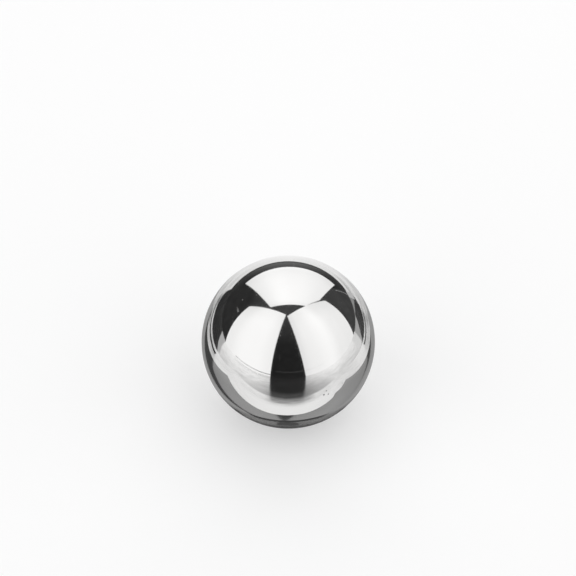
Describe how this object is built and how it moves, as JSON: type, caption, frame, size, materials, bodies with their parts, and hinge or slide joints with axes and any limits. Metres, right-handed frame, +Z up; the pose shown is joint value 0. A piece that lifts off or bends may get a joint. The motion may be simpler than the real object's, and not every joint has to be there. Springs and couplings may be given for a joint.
{
  "type": "steel ball",
  "caption": "Solid steel ball with a mirror-polished surface, for a bearing, a valve or a cup on the bench.",
  "frame": {"origin": "centre of the ball", "axes": "+Z up, away from the cup that holds the ball; X and Y are alike, because a ball looks the same from every side"},
  "size_m": [0.0254, 0.0254, 0.0254],
  "materials": {
    "polished_steel": "polished"
  },
  "bodies": {
    "root": {"ball": "polished_steel"}
  },
  "joints": []
}
